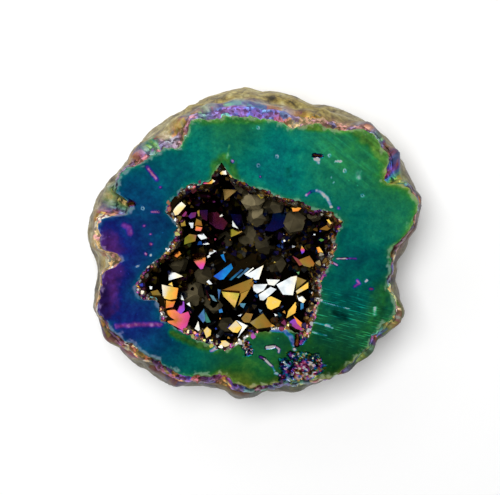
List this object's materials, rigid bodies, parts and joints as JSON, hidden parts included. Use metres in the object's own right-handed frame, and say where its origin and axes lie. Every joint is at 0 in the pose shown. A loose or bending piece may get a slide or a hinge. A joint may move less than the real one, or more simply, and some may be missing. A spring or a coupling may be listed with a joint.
{
  "type": "agate geode half",
  "caption": "Half of a sawn agate nodule with a polished cut face and a hollow lined with quartz crystals, coated so that it shines in metallic rainbow colours.",
  "frame": {"origin": "on the plane that the back rests on, under the middle of the stone's bounding box", "axes": "+Z out of the polished cut face, which is level and on top; +X along the longest side; +Y towards the side of the stone that is at the top of the picture"},
  "size_m": [0.0578, 0.0539, 0.025],
  "materials": {
    "coated_agate": "opaque agate, cut face polished, with a thin metallic coat that shades from purple through blue and teal to green; rough ochre-brown rind outside",
    "coated_quartz": "quartz crystals under the same metallic coat, mirror-like faces in gold, magenta, blue and smoky brown"
  },
  "bodies": {
    "root": {"agate_shell": "coated_agate", "crystal_crust": "coated_quartz"}
  },
  "joints": []
}
